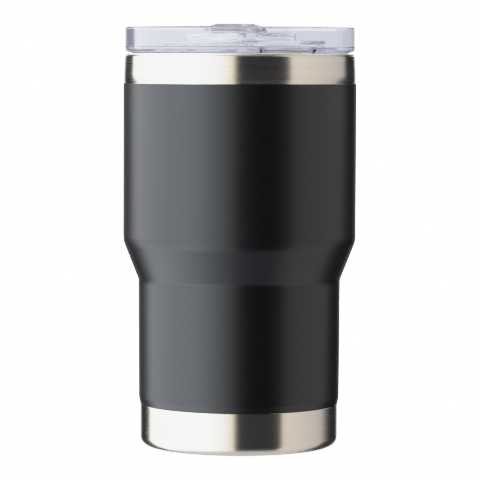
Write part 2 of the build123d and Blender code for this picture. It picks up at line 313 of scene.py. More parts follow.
DIM_STARTS = (-2, -6.5)
DIM_ENDS = (-20, -12)
LOW_CARD = (0.9, 0.9, 0.92)
LOW_CARD_EDGE = (-36, -58)
CEILING = (0.7, 0.7, 0.72)
CEILING_EDGE = (60, 72)
CLEAR_FRONT = (0.7, 0.71, 0.76)   # what is seen through clear plastic, by where it looks
CLEAR_BACK = (0.645, 0.67, 0.735)
CLEAR_BACK_EDGE = (60, 140)
CLEAR_HIGH = (0.67, 0.69, 0.75)
CLEAR_HIGH_EDGE = (12, 50)
CLEAR_LOW = (0.77, 0.785, 0.835)
CLEAR_LOW_EDGE = (-12, -50)
CLEAR_FLAG = (0.31, 0.32, 0.43)
CLEAR_FLAG_SPAN = (-165.0, -139.0)
CLEAR_FLAG_SOFT = 4
SEEN_BACKDROP = (4.0, 4.0, 4.0)
FLOOR_RADIUS = 40.0
FLOOR_SIDES = 96
FLOOR_COLOUR = (0.8, 0.8, 0.8)
FLOOR_THROUGH_CLEAR = (0.47, 0.48, 0.53)
FLOOR_GLOW = 0.3
FLOOR_GLOW_THROUGH_CLEAR = 0.15
FLOOR_SEEN = 3.2
LONG_PATH = 48
GLOSSY_PATH = 24
TONE_WHITE = 3.0
TONE_POINTS = [
    (0.02, 0.014),
    (0.1, 0.092),
    (0.5, 0.5),
    (0.7, 0.69),
    (0.9, 0.82),
    (1.2, 0.88),
    (1.6, 0.905),
    (2.2, 0.93),
]


# ---------------------------------------------------------------- outlines

def line_meet(p, d, q, e):
    """The point where the line through p along d meets the line through q along e."""
    cross = d[0] * e[1] - d[1] * e[0]
    t = ((q[0] - p[0]) * e[1] - (q[1] - p[1]) * e[0]) / cross
    return (p[0] + t * d[0], p[1] + t * d[1])


def sheet_outline(corners, wall):
    """Closed (radius, height, rounding) outline of a sheet along an open one, wall thick."""
    ways = []
    for (r0, z0, _), (r1, z1, _) in zip(corners, corners[1:]):
        length = hypot(r1 - r0, z1 - z0)
        ways.append(((r1 - r0) / length, (z1 - z0) / length))
    moved = [(c[0] + wall * d[1], c[1] - wall * d[0]) for c, d in zip(corners, ways)]
    moved.append((corners[-1][0] + wall * ways[-1][1], corners[-1][1] - wall * ways[-1][0]))

    def level_end(i, way):
        across = (1, 0) if abs(way[1]) > abs(way[0]) else (0, 1)
        return (*line_meet(moved[i], way, corners[i][:2], across), 0)

    far = [level_end(0, ways[0])]
    for i in range(1, len(corners) - 1):
        turn = ways[i - 1][0] * ways[i][1] - ways[i - 1][1] * ways[i][0]
        rounding = corners[i][2]
        if rounding:
            rounding = max(rounding + (wall if turn > 0 else -wall), 0)
        far.append((*line_meet(moved[i - 1], ways[i - 1], moved[i], ways[i]), rounding))
    far.append(level_end(-1, ways[-1]))
    return list(corners) + far[::-1]


def rounded(corners):
    """Points of a closed outline whose corners carry a rounding radius as their third value."""
    points = []
    for i, (x, y, radius) in enumerate(corners):
        if radius <= 0:
            points.append((x, y))
            continue
        ax, ay, _ = corners[i - 1]
        bx, by, _ = corners[(i + 1) % len(corners)]
        la, lb = hypot(ax - x, ay - y), hypot(bx - x, by - y)
        ux, uy, vx, vy = (ax - x) / la, (ay - y) / la, (bx - x) / lb, (by - y) / lb
        turn = pi - acos(max(-1, min(1, ux * vx + uy * vy)))
        reach = radius * tan(turn / 2)
        sx, sy, ex, ey = x + ux * reach, y + uy * reach, x + vx * reach, y + vy * reach
        out = hypot(ux + vx, uy + vy)
        depth = radius / cos(turn / 2)
        cx, cy = x + (ux + vx) / out * depth, y + (uy + vy) / out * depth
        start = atan2(sy - cy, sx - cx)
        sweep = atan2(ey - cy, ex - cx) - start
        sweep = (sweep + pi) % (2 * pi) - pi
        steps = max(2, ceil(turn / ARC_STEP))
        if la > 2 * (reach + HOLD):
            points.append((sx + ux * HOLD, sy + uy * HOLD))
        for s in range(steps + 1):
            a = start + sweep * s / steps
            points.append((cx + radius * cos(a), cy + radius * sin(a)))
        if lb > 2 * (reach + HOLD):
            points.append((ex + vx * HOLD, ey + vy * HOLD))
    return points


def rectangle(x0, x1, y0, y1, rounding=0.0):
    return [(x0, y0, rounding), (x1, y0, rounding), (x1, y1, rounding), (x0, y1, rounding)]


def slot_outline(margin):
    """Curved slot at the front of the lid, with round ends, grown by a margin."""
    half = DRINK_WIDTH / 2 + margin
    points = []
    for side in (1, -1):
        start = FRONT - side * DRINK_HALF_ANGLE
        end = FRONT + side * DRINK_HALF_ANGLE
        edge_r = DRINK_ARC_R + side * half
        for k in range(SLOT_STEPS + 1):
            a = start + (end - start) * k / SLOT_STEPS
            points.append((edge_r * cos(a), edge_r * sin(a), 0))
        cx, cy = DRINK_ARC_R * cos(end), DRINK_ARC_R * sin(end)
        outward = end if side > 0 else end + pi
        for k in range(1, SLOT_END_STEPS):
            a = outward + pi * k / SLOT_END_STEPS
            points.append((cx + half * cos(a), cy + half * sin(a), 0))
    return points


# ---------------------------------------------------------------- mesh making

def deselect():
    bpy.ops.object.select_all(action="DESELECT")


def only(obj):
    deselect()
    obj.select_set(True)
    bpy.context.view_layer.objects.active = obj


def start_line(name, x, y, z):
    """A new object with one vertex at the place given, in edit mode with the vertex selected."""
    deselect()
    bpy.ops.mesh.primitive_plane_add(size=MM, location=(0, 0, 0))
    obj = bpy.context.object
    obj.name = name
    obj.data.name = name
    bpy.ops.object.mode_set(mode="EDIT")
    bpy.ops.mesh.select_mode(type="VERT")
    bpy.ops.mesh.select_all(action="SELECT")
    bpy.ops.mesh.merge(type="CENTER")
    bpy.ops.transform.translate(value=(x * MM, y * MM, z * MM))
    return obj


def draw_on(points):
    """Extrudes the selected vertex through a list of (x, y, z) steps from place to place."""
    for (x0, y0, z0), (x1, y1, z1) in zip(points, points[1:]):
        step = ((x1 - x0) * MM, (y1 - y0) * MM, (z1 - z0) * MM)
        bpy.ops.mesh.extrude_region_move(TRANSFORM_OT_translate={"value": step})


def close_line():
    """Joins the two ends of the edited line with an edge."""
    bpy.ops.mesh.select_all(action="SELECT")
    ends = open_ends()
    bpy.ops.mesh.select_all(action="DESELECT")
    pick_vertices(ends)
    bpy.ops.mesh.edge_face_add()
    bpy.ops.mesh.select_all(action="SELECT")


def open_ends():
    """The two vertices of the edited line that end only one edge."""
    mesh = bpy.context.object.data
    bpy.ops.object.mode_set(mode="OBJECT")
    uses = [0] * len(mesh.vertices)
    for edge in mesh.edges:
        for v in edge.vertices:
            uses[v] += 1
    bpy.ops.object.mode_set(mode="EDIT")
    return [i for i, n in enumerate(uses) if n == 1]


def pick_vertices(indices):
    bpy.ops.object.mode_set(mode="OBJECT")
    for i in indices:
        bpy.context.object.data.vertices[i].select = True
    bpy.ops.object.mode_set(mode="EDIT")


def tidy_surface():
    bpy.ops.mesh.select_all(action="SELECT")
    bpy.ops.mesh.remove_doubles(threshold=MERGE_GAP * MM)
    bpy.ops.mesh.normals_make_consistent(inside=False)


def smooth(obj):
    only(obj)
    bpy.ops.object.shade_smooth_by_angle(angle=SMOOTH_ANGLE)


def turned(name, corners):
    """A closed outline of (radius, height, rounding) corners, spun about the cup's axis."""
    line = [(r, 0, z) for r, z in rounded(corners)]
    obj = start_line(name, *line[0])
    draw_on(line)
    close_line()
    bpy.ops.mesh.spin(steps=TURN_STEPS, angle=2 * pi, center=(0, 0, 0), axis=(0, 0, 1))
    tidy_surface()
    bpy.ops.object.mode_set(mode="OBJECT")
    smooth(obj)
    return obj


def prism(name, corners, along, low, high):
    """A closed outline raised along X, Y or Z from low to high.

    The outline's two values are the other two coordinates, in X, Y, Z order.
    """
    axis = "XYZ".index(along)
    line = []
    for point in rounded(corners):
        place = list(point)
        place.insert(axis, low)
        line.append(tuple(place))
    obj = start_line(name, *line[0])
    draw_on(line)
    close_line()
    bpy.ops.mesh.edge_face_add()
    rise = [0, 0, 0]
    rise[axis] = (high - low) * MM
    bpy.ops.mesh.extrude_region_move(TRANSFORM_OT_translate={"value": rise})
    tidy_surface()
    bpy.ops.object.mode_set(mode="OBJECT")
    return obj


def carve(obj, tool, operation):
    """Adds, cuts or intersects obj with a tool piece, which is used up."""
    only(obj)
    modifier = obj.modifiers.new("carve", "BOOLEAN")
    modifier.operation = operation
    modifier.solver = "EXACT"
    modifier.object = tool
    bpy.ops.object.modifier_apply(modifier=modifier.name)
    bpy.data.objects.remove(tool, do_unlink=True)


def cut_through(obj, name, outline, bottom, top):
    """Cuts an outline upright through a piece that lies between two heights."""
    carve(obj, prism(name, outline, "Z", bottom - CUT_PAST, top + CUT_PAST), "DIFFERENCE")


def bevelled(obj, width, segments, limit):
    only(obj)
    modifier = obj.modifiers.new("edges", "BEVEL")
    modifier.width = width * MM
    modifier.segments = segments
    modifier.limit_method = "ANGLE"
    modifier.angle_limit = radians(limit)
    modifier.use_clamp_overlap = True
    bpy.ops.object.modifier_apply(modifier=modifier.name)


# ---------------------------------------------------------------- shader nodes

class NodeTree:
    """The nodes of a material or of the world, with a short call for each kind in use."""

    def __init__(self, owner):
        owner.use_nodes = True
        self.nodes = owner.node_tree.nodes
        self.links = owner.node_tree.links

    def feed(self, node, inputs):
        """Sets a node's inputs to values, or links them to other nodes' outputs."""
        for name, value in inputs.items():
            if isinstance(value, bpy.types.NodeSocket):
                self.links.new(value, node.inputs[name])
            else:
                node.inputs[name].default_value = value

    def add(self, kind, inputs, **settings):
        node = self.nodes.new("ShaderNode" + kind)
        for name, value in settings.items():
            setattr(node, name, value)
        self.feed(node, inputs)
        return node

    def grain(self, scale, detail=2.0, roughness=0.5):
        """Noise on Object coordinates, with its own scale along each axis."""
        place = self.add("TexCoord", {}).outputs["Object"]
        scaled = self.add("Mapping", {"Vector": place, "Scale": scale}).outputs["Vector"]
        inputs = {"Vector": scaled, "Scale": 1.0, "Detail": detail, "Roughness": roughness}
        return self.add("TexNoise", inputs).outputs["Fac"]

    def spread(self, value, low, high, seen=(0.3, 0.7)):
        """Stretches the seen range of a value over low to high."""
        inputs = {"Value": value, "From Min": seen[0], "From Max": seen[1], "To Min": low, "To Max": high}
        return self.add("MapRange", inputs).outputs["Result"]

    def vary(self, value, middle, change):
        """A value that changes both ways about its middle."""
        return self.spread(value, middle - change, middle + change)

    def rise(self, value, low, high):
        """0 before the first angle and 1 past the second, in degrees, with soft ends."""
        inputs = {"Value": value, "From Min": radians(low), "From Max": radians(high)}
        return self.add("MapRange", inputs, interpolation_type="SMOOTHSTEP").outputs["Result"]

    def band(self, value, low, high, soft):
        """1 between two angles in degrees and 0 outside them, with soft ends."""
        rise = self.rise(value, low - soft, low + soft)
        fall = self.rise(value, high + soft, high - soft)
        return self.calc("MULTIPLY", rise, fall)

    def calc(self, operation, *values):
        return self.add("Math", dict(enumerate(values)), operation=operation).outputs["Value"]

    def mix(self, base, colour, factor):
        """The base colour with another laid over it by a factor."""
        inputs = {"Factor": factor, "A": solid(base), "B": solid(colour)}
        return self.add("Mix", inputs, data_type="RGBA").outputs["Result"]

    def bump(self, height, distance, **inputs):
        inputs = {"Height": height, "Distance": distance, "Strength": 1.0, **inputs}
        return self.add("Bump", inputs).outputs["Normal"]


def solid(colour):
    """A colour of three parts made opaque; another node's output stays as it is."""
    return colour if isinstance(colour, bpy.types.NodeSocket) else (*colour, 1)


def new_material(name):
    material = bpy.data.materials.new(name)
    tree = NodeTree(material)
    return material, tree, tree.nodes["Principled BSDF"]


# ---------------------------------------------------------------- materials

def brushed_steel(name, colours, roughness, anisotropy):
    """Steel brushed round the axis: fine level lines, long round the cup and short in height."""
    material, tree, shader = new_material(name)
    fine = tree.grain(BRUSH_FINE, BRUSH_FINE_DETAIL, BRUSH_FINE_ROUGHNESS)
    fine_share = tree.calc("MULTIPLY", fine, BRUSH_FINE_SHARE)
    broad_share = tree.calc("MULTIPLY", tree.grain(BRUSH_BROAD), 1 - BRUSH_FINE_SHARE)
    lines = tree.spread(tree.calc("ADD", fine_share, broad_share), 0, 1, BRUSH_LINES)
    gloss = tree.vary(fine, 0, BRUSH_GLOSS_CHANGE)
    clouds = tree.vary(tree.grain(STEEL_CLOUDS), roughness, STEEL_CLOUD_CHANGE)
    tree.feed(shader, {
        "Base Color": tree.mix(*colours, lines),
        "Roughness": tree.calc("ADD", gloss, clouds),
        "Normal": tree.bump(fine, BRUSH_BUMP),
        "Tangent": tree.add("Tangent", {}, direction_type="RADIAL", axis="Z").outputs["Tangent"],
        "Metallic": 1.0,
        "Anisotropic": anisotropy,
        "Anisotropic Rotation": BRUSH_TURN,
    })
    return material


def powder_coat():
    """Satin black powder coat: very fine orange peel, with faint cloudiness in its gloss."""
    material, tree, shader = new_material("black_powder_coat")
    grain = tree.grain(COAT_GRAIN)
    clouds = tree.grain(COAT_CLOUDS, COAT_CLOUD_DETAIL)
    clouds = tree.vary(clouds, COAT_ROUGHNESS, COAT_CLOUD_CHANGE)
    peel = tree.bump(tree.grain(COAT_PEEL), COAT_PEEL_BUMP)
    tree.feed(shader, {
        "Base Color": tree.mix(*COAT_COLOURS, tree.spread(grain, 0, 1)),
        "Roughness": tree.calc("ADD", clouds, tree.vary(grain, 0, COAT_GRAIN_CHANGE)),
        "Normal": tree.bump(grain, COAT_GRAIN_BUMP, Normal=peel),
        "IOR": COAT_IOR,
        "Specular Tint": COAT_GLOSS_TINT,
    })
    return material


def clear_plastic(name, ior):
    """Clear moulded plastic with a faint cool tint that deepens with thickness."""
    material, tree, shader = new_material(name)
    flow = tree.grain(CLEAR_FLOW)
    tree.feed(shader, {
        "Base Color": CLEAR_COLOUR,
        "Roughness": tree.spread(flow, 0.0, CLEAR_MAX_ROUGHNESS),
        "Normal": tree.bump(flow, CLEAR_FLOW_BUMP),
        "Transmission Weight": 1.0,
        "IOR": ior,
    })
    depth = tree.add("VolumeAbsorption", {"Color": CLEAR_DEPTH_COLOUR, "Density": CLEAR_DEPTH})
    tree.feed(tree.nodes["Material Output"], {"Volume": depth.outputs["Volume"]})
    return material


def silicone():
    """Milky silicone with a fine matt grain."""
    material, tree, shader = new_material("translucent_silicone")
    grain = tree.grain(SILICONE_GRAIN)
    tree.feed(shader, {
        "Base Color": tree.mix(*SILICONE_COLOURS, tree.spread(grain, 0, 1)),
        "Roughness": tree.spread(grain, *SILICONE_ROUGHNESS),
        "Normal": tree.bump(grain, SILICONE_BUMP),
        "Transmission Weight": SILICONE_CLEARNESS,
        "IOR": SILICONE_IOR,
    })
    return material


def small_piece(name, colours, roughness, metallic):
    """A small hidden piece: mottled colour and gloss."""
    material, tree, shader = new_material(name)
    grain = tree.grain(SMALL_PIECE_GRAIN, SMALL_PIECE_DETAIL)
    tree.feed(shader, {
        "Base Color": tree.mix(*colours, tree.spread(grain, 0, 1)),
        "Roughness": tree.vary(grain, roughness, SMALL_PIECE_CHANGE),
        "Normal": tree.bump(grain, SMALL_PIECE_BUMP),
        "Metallic": metallic,
    })
    return material


def finish_piece(obj, body, nodes, slot, material):
    obj.data.materials.clear()
    obj.data.materials.append(material)
    obj.visible_shadow = slot not in LIGHT_PASSES
    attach(obj, body)
    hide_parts(*nodes)


# ---------------------------------------------------------------- cup

def outer_wall():
    """Bare top band and lip, and the shell under the coat."""
    corners = [
        (LIP_R, SHELL_TOP, 0),
        (LIP_R + LIP_EDGE_OUT, SHELL_TOP - LIP_EDGE_DROP, LIP_EDGE_ROUND),
        (LIP_R + NECK_OUT, SHELL_TOP - NECK_DROP, NECK_ROUND),
        (BODY_R, BAND_BOTTOM + BAND_FLAT, NECK_ROUND),
        (BODY_R, BAND_BOTTOM + GROOVE_UP, 0),
        (BODY_R - GROOVE_DEPTH, BAND_BOTTOM + GROOVE_HALF, 0),
        (BODY_R - GROOVE_DEPTH, BAND_BOTTOM - GROOVE_HALF, 0),
        (BODY_R, BAND_BOTTOM - GROOVE_DOWN, 0),
        (BODY_R, SHOULDER_Z, SHOULDER_ROUND),
        (LOWER_TOP_R, CREASE_Z, CREASE_ROUND),
        (LOWER_BOTTOM_R, ROLL_Z, ROLL_ROUND),
        (ROLL_R, SHELL_BOTTOM, 0),
    ]
    return turned("steel_outer_wall", sheet_outline(corners, SHEET))


def coat_layer():
    """The coat has its own thickness, with a soft edge at the top and a rolled one below."""
    skin = [
        (BODY_R, BAND_BOTTOM, 0),
        (BODY_R, SHOULDER_Z, SHOULDER_ROUND),
        (LOWER_TOP_R, CREASE_Z, CREASE_ROUND),
        (LOWER_BOTTOM_R, ROLL_Z, ROLL_ROUND),
        (ROLL_R, SHELL_BOTTOM, 0),
    ]
    outline = sheet_outline(skin, -COAT)
    r, z, _ = outline[-1]
    outline[-1] = (r, z, COAT_EDGE_ROUND)
    return turned("black_coat_layer", outline)


def base_shell():
    """Bare bottom of the outer wall: collar, rounded corner, foot, recess and dimple."""
    corners = [
        (COLLAR_R, COLLAR_TOP, 0),
        (COLLAR_R, SHELL_BOTTOM, 0),
        (BASE_R, BASE_TOP, BASE_TOP_ROUND),
        (BASE_R, 0, BASE_CORNER),
        (RECESS_R + RECESS_LEAN, 0, FOOT_ROUND),
        (RECESS_R, RECESS_DEPTH, RECESS_ROUND),
        (DIMPLE_R, RECESS_DEPTH, RECESS_ROUND),
        (DIMPLE_R - DIMPLE_LEAN, DIMPLE_Z, DIMPLE_ROUND),
        (TAIL_HOLE_R, DIMPLE_Z, 0),
    ]
    return turned("steel_base", sheet_outline(corners, SHEET))


def base_plate():
    """Cover plate in the underside's recess, with a shallow dish."""
    dish_r = DISC_R - DISH_BORDER
    corners = [
        (DISC_R, DISC_BOTTOM, DISC_EDGE_ROUND),
        (dish_r, DISC_BOTTOM, DISH_ROUND),
        (0, DISC_BOTTOM + DISH_RISE, 0),
        (0, DISC_BOTTOM + DISH_RISE + DISC_T, 0),
        (dish_r, DISC_BOTTOM + DISC_T, DISH_ROUND),
        (DISC_R, DISC_BOTTOM + DISC_T, DISC_EDGE_ROUND),
    ]
    return turned("base_cover_plate", corners)


def liner_wall():
    """Inner wall with the rolled lip over the outer wall's edge, in one outline."""
    wall = [
        (MOUTH_R, LIP_TOP, MOUTH_EDGE_ROUND),
        (MOUTH_R, MOUTH_BOTTOM, SEAT_ROUND),
        (LINER_R, SEAT_Z, SEAT_ROUND),
        (LINER_R, LINER_SHOULDER_Z, LINER_SHOULDER_ROUND),
        (LINER_LOWER_R, LINER_CREASE_Z, LINER_CREASE_ROUND),
        (LINER_LOWER_R, LINER_WELD_Z, 0),
    ]
    outline = sheet_outline(wall, -SHEET)[:-1]
    lip = [
        (MOUTH_R + SHEET, SHELL_TOP + LIP_GAP, 0),
        (LIP_R, SHELL_TOP + LIP_GAP, LIP_UNDER_ROUND),
        (LIP_R, LIP_TOP, LIP_OUTER_ROUND),
    ]
    return turned("steel_liner", outline + lip)


def liner_floor():
    corners = [
        (LINER_LOWER_R, LINER_WELD_Z, 0),
        (LINER_LOWER_R, LINER_FLOOR_Z, LINER_CORNER),
        (0, LINER_FLOOR_Z, 0),
    ]
    return turned("steel_liner_floor", sheet_outline(corners, -SHEET))


def make_cup():
    steel = brushed_steel("brushed_steel", STEEL_COLOURS, STEEL_ROUGHNESS, STEEL_ANISOTROPY)
    # The liner's steel is a lighter copy of the outer steel: painted light inside the cup.
    liner_steel = brushed_steel("liner_steel", LINER_PAINTED_LIGHT_COLOURS, LINER_ROUGHNESS, LINER_ANISOTROPY)
    pieces = [
        (outer_wall(), "outer_shell", "brushed_steel", steel),
        (coat_layer(), "black_coat", "black_coat", powder_coat()),
        (base_shell(), "base_cup", "brushed_steel", steel),
        (base_plate(), "base_disc", "brushed_steel", steel),
        (liner_wall(), "inner_liner", "liner_steel", liner_steel),
        (liner_floor(), "liner_bottom", "liner_steel", liner_steel),
    ]
    for obj, node, slot, material in pieces:
        finish_piece(obj, "cup", [node], slot, material)
    kept = {
        "seal_bead": small_piece("fused_glass", BEAD_COLOURS, BEAD_ROUGHNESS, 0.0),
        "getter": small_piece("sintered_alloy", ALLOY_COLOURS, ALLOY_ROUGHNESS, ALLOY_METALLIC),
        "getter_clip": liner_steel,
    }
    for node, material in kept.items():
        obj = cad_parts[node]
        obj.data.materials.clear()
        obj.data.materials.append(material)


# ---------------------------------------------------------------- lid

def lid_moulding():
    """Plug skirt with its groove, chamfered flange, rim, sunk deck, slots, vent and guides."""
    skirt_in = SKIRT_R - SKIRT_WALL
    corners = [
        (0, DECK_BOTTOM, 0),
        (skirt_in, DECK_BOTTOM, SKIRT_ROOT_ROUND),
        (skirt_in, SKIRT_BOTTOM, SKIRT_END_ROUND),
        (SKIRT_R - SKIRT_LEAD, SKIRT_BOTTOM, SKIRT_LEAD_ROUND),
        (SKIRT_R, SKIRT_BOTTOM + SKIRT_LEAD, SKIRT_LEAD_ROUND),
        (SKIRT_R, GROOVE_BOTTOM, GROOVE_ROUND),
        (GROOVE_R, GROOVE_BOTTOM, GROOVE_ROUND),
        (GROOVE_R, GROOVE_TOP, GROOVE_ROUND),
        (SKIRT_R, GROOVE_TOP, GROOVE_ROUND),
        (SKIRT_R, FLANGE_BOTTOM, FLANGE_ROOT_ROUND),
        (LID_R - FLANGE_CHAMFER, FLANGE_BOTTOM, FLANGE_CHAMFER_ROUND),
        (LID_R, FLANGE_BOTTOM + FLANGE_CHAMFER_H, FLANGE_CHAMFER_ROUND),
        (LID_R, LID_TOP, LID_EDGE_R),
        (WELL_R, LID_TOP, LID_EDGE_R),
        (WELL_R, DECK_TOP, WELL_FILLET),
        (0, DECK_TOP, 0),
    ]
    lid = turned("clear_lid", corners)
    half_track = STEM_W / 2 + STEM_GAP
    track_front = STEM_FRONT_Y - STOP_GAP
    track_back = STEM_BACK_Y + TRAVEL + STOP_GAP
    vent = []
    for k in range(VENT_SIDES):
        a = 2 * pi * k / VENT_SIDES
        vent.append((VENT_R * cos(a), VENT_Y + VENT_R * sin(a), 0))
    cut_through(lid, "slot", slot_outline(0), DECK_BOTTOM, DECK_TOP)
    cut_through(lid, "vent", vent, DECK_BOTTOM, DECK_TOP)
    track = rectangle(-half_track, half_track, track_front, track_back)
    cut_through(lid, "track", track, DECK_BOTTOM, DECK_TOP)
    for side in (-1, 1):
        carve(lid, guide(side), "UNION")
    smooth(lid)
    return lid


def guide(side):
    """A low rib beside the slider's plate, with rounded top edges."""
    inner = side * (PLATE_HALF_W + GUIDE_GAP)
    outer = inner + side * GUIDE_T
    section = [
        (inner, DECK_TOP - GUIDE_ROOT, 0),
        (outer, DECK_TOP - GUIDE_ROOT, 0),
        (outer, GUIDE_TOP, GUIDE_ROUND),
        (inner, GUIDE_TOP, GUIDE_ROUND),
    ]
    return prism("guide", section, "Y", GUIDE_FRONT_Y, GUIDE_BACK_Y)


def gasket():
    """Ring with two lips, in the skirt's groove."""
    low = GROOVE_BOTTOM + GASKET_GAP
    high = GROOVE_TOP - GASKET_GAP
    inner = GROOVE_R + GASKET_BORE_GAP
    neck = GASKET_CORE_R - GASKET_NECK_DROP
    lip_low = low + GASKET_LIP_RISE
    lip_high = high - GASKET_LIP_RISE
    corners = [
        (inner, low, GASKET_EDGE_ROUND),
        (neck, low, GASKET_NECK_ROUND),
        (GASKET_LIP_R, lip_low, GASKET_LIP_ROUND),
        (GASKET_LIP_R, lip_low + GASKET_LIP_T, GASKET_LIP_ROUND),
        (neck, (low + high) / 2, GASKET_NECK_ROUND),
        (GASKET_LIP_R, lip_high - GASKET_LIP_T, GASKET_LIP_ROUND),
        (GASKET_LIP_R, lip_high, GASKET_LIP_ROUND),
        (neck, high, GASKET_NECK_ROUND),
        (inner, high, GASKET_EDGE_ROUND),
    ]
    return turned("silicone_gasket", corners)


def plate_outline():
    """The slider's plate: square at the back, and curved as the rim is at the front."""
    half_angle = atan2(PLATE_HALF_W, sqrt(PLATE_FRONT_R ** 2 - PLATE_HALF_W ** 2))
    points = [(side * PLATE_HALF_W, PLATE_BACK_Y, PLATE_BACK_ROUND) for side in (1, -1)]
    for k in range(PLATE_ARC_STEPS + 1):
        a = FRONT - half_angle + 2 * half_angle * k / PLATE_ARC_STEPS
        points.append((PLATE_FRONT_R * cos(a), PLATE_FRONT_R * sin(a), 0))
    return points


def slider_moulding():
    """Plate, hollow tab with the thumb ridge, room for the seal pad, and the stem."""
    slider = prism("clear_slider", plate_outline(), "Z", PLATE_BOTTOM, PLATE_TOP)
    half_w, half_l = TAB_W / 2, TAB_L / 2
    tab_outline = rectangle(-half_w, half_w, -half_l, half_l, TAB_CORNER)
    tab = prism("tab", tab_outline, "Z", PLATE_TOP - TAB_ROOT, TAB_TOP)
    carve(tab, ridge(), "UNION")
    carve(slider, tab, "UNION")
    bevelled(slider, SLIDER_EDGE, segments=3, limit=50)
    in_w, in_l = half_w - TAB_WALL, half_l - TAB_WALL
    hollow = rectangle(-in_w, in_w, -in_l, in_l, TAB_CORNER - TAB_WALL)
    pad = slot_outline(SEAL_MARGIN + SEAL_GAP)
    pad_top = SEAL_BOTTOM + SEAL_T + SEAL_GAP
    below = PLATE_BOTTOM - CUT_PAST
    carve(slider, prism("hollow", hollow, "Z", below, TAB_TOP - TAB_WALL), "DIFFERENCE")
    carve(slider, prism("pad", pad, "Z", below, pad_top), "DIFFERENCE")
    carve(slider, stem(), "UNION")
    smooth(slider)
    return slider


def stem():
    """The slider's stem, with a barb on each side below the retainer."""
    half = STEM_W / 2
    outline = rectangle(-half, half, STEM_FRONT_Y, STEM_BACK_Y)
    low = RETAINER_BOTTOM - STEM_OVERLAP
    shank = prism("stem", outline, "Z", low, TAB_TOP - TAB_WALL + STEM_ROOT)
    barb_top = RETAINER_BOTTOM - BARB_GAP
    section = [
        (-half - BARB, barb_top, 0),
        (-half, STEM_BOTTOM, 0),
        (half, STEM_BOTTOM, 0),
        (half + BARB, barb_top, 0),
    ]
    carve(shank, prism("barb", section, "Y", STEM_FRONT_Y, STEM_BACK_Y), "UNION")
    return shank


def retainer():
    """The plate that the stem's barbs hold under the deck."""
    middle = (STEM_FRONT_Y + STEM_BACK_Y) / 2
    half_w, half_l = RETAINER_W / 2, RETAINER_L / 2
    outline = rectangle(-half_w, half_w, middle - half_l, middle + half_l, RETAINER_CORNER)
    plate = prism("clear_retainer", outline, "Z", RETAINER_BOTTOM, RETAINER_TOP)
    bevelled(plate, RETAINER_EDGE, segments=2, limit=40)
    hole = rectangle(-STEM_W / 2, STEM_W / 2, STEM_FRONT_Y, STEM_BACK_Y)
    cut_through(plate, "hole", hole, RETAINER_BOTTOM, RETAINER_TOP)
    smooth(plate)
    return plate


def ridge():
    """Thumb ridge across the tab: it tapers upwards, and is an arch when seen from the front."""
    half_foot, half_top = RIDGE_FOOT_W / 2, RIDGE_TOP_W / 2
    section = [
        (RIDGE_Y - half_foot, TAB_TOP - RIDGE_ROOT, 0),
        (RIDGE_Y + half_foot, TAB_TOP - RIDGE_ROOT, 0),
        (RIDGE_Y + half_foot, TAB_TOP, 0),
        (RIDGE_Y + half_top, RIDGE_TOP, RIDGE_ROUND),
        (RIDGE_Y - half_top, RIDGE_TOP, RIDGE_ROUND),
        (RIDGE_Y - half_foot, TAB_TOP, 0),
    ]
    bar = prism("ridge", section, "X", -RIDGE_HALF_L, RIDGE_HALF_L)
    foot = RIDGE_TOP - ARCH_R - ARCH_FOOT
    arch = [
        (-ARCH_HALF_L, foot, 0),
        (ARCH_HALF_L, foot, 0),
        (ARCH_HALF_L, RIDGE_TOP, ARCH_R),
        (-ARCH_HALF_L, RIDGE_TOP, ARCH_R),
    ]
    side_view = prism("arch", arch, "Y", RIDGE_Y - RIDGE_FOOT_W, RIDGE_Y + RIDGE_FOOT_W)
    carve(bar, side_view, "INTERSECT")
    return bar


def seal_pad():
    """Curved pad over the drinking slot, in the slider's underside."""
    outline = slot_outline(SEAL_MARGIN)
    pad = prism("silicone_pad", outline, "Z", SEAL_BOTTOM, SEAL_BOTTOM + SEAL_T)
    bevelled(pad, SEAL_EDGE, segments=2, limit=40)
    smooth(pad)
    return pad


def make_lid():
    lid_plastic = clear_plastic("clear_plastic", LID_IOR)
    slider_plastic = clear_plastic("clear_slider_plastic", SLIDER_IOR)
    rubber = silicone()
    finish_piece(lid_moulding(), "lid", ["lid_body"], "clear_plastic", lid_plastic)
    finish_piece(gasket(), "lid", ["lid_gasket"], "silicone", rubber)
    finish_piece(slider_moulding(), "slider", ["slider"], "clear_plastic", slider_plastic)
    finish_piece(retainer(), "slider", ["slider_retainer"], "clear_plastic", slider_plastic)
    finish_piece(seal_pad(), "slider", ["slider_seal"], "silicone", rubber)


# ---------------------------------------------------------------- studio

def make_camera():
    azimuth = radians(CAMERA_AZIMUTH)
    distance = CAMERA_DISTANCE * MM
    place = (distance * sin(azimuth), -distance * cos(azimuth), CAMERA_HEIGHT * MM)
    bpy.ops.object.camera_add(location=place)
    camera = bpy.context.object
    camera.name = "camera"
    camera.rotation_euler = (radians(90 - CAMERA_PITCH), radians(CAMERA_ROLL), azimuth)
    camera.data.sensor_width = CAMERA_SENSOR
    camera.data.lens = CAMERA_LENS
    camera.data.clip_start, camera.data.clip_end = CAMERA_CLIP
    bpy.context.scene.camera = camera


